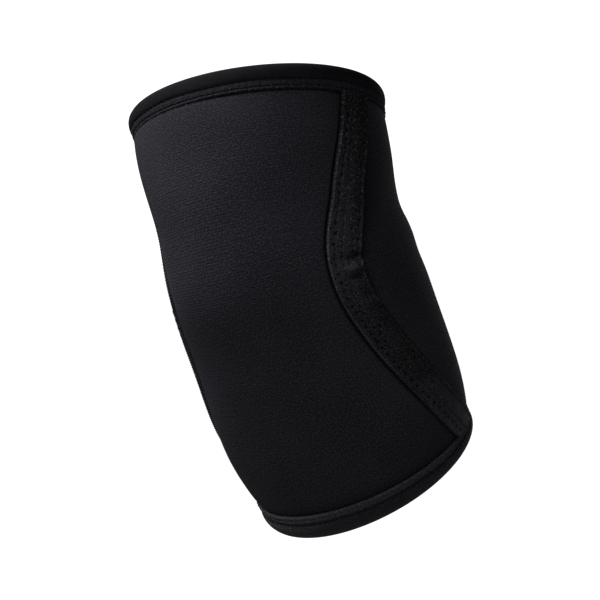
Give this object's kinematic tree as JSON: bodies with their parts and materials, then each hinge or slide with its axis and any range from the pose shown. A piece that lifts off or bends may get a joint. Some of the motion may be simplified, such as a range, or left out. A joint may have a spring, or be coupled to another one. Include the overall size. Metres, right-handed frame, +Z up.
{
  "type": "elbow sleeve",
  "caption": "Pull-on elbow sleeve of thick black neoprene, a slightly bent open tube with textured strips over its side seams and folded tape round both rims.",
  "frame": {"origin": "middle of the elbow, inside the hollow where the arm sits", "axes": "+Z up along the arm from the forearm rim to the upper-arm rim, -Y towards the point of the elbow, +Y towards the crease of the bend"},
  "size_m": [0.1096, 0.1111, 0.1903],
  "materials": {
    "neoprene_jersey": "matt blue-black jersey bonded to neoprene foam, with a fine speckled knit and a soft sheen",
    "seam_strip": "matt dark grey textured tape, coarser than the panels, stitched down along both edges",
    "rim_tape": "smooth black stretch tape, folded over the rim and cover-stitched"
  },
  "bodies": {
    "root": {"elbow_panel": "neoprene_jersey", "crease_panel": "neoprene_jersey", "right_side_strip": "seam_strip", "left_side_strip": "seam_strip", "lower_binding": "rim_tape", "upper_binding": "rim_tape"}
  },
  "joints": []
}
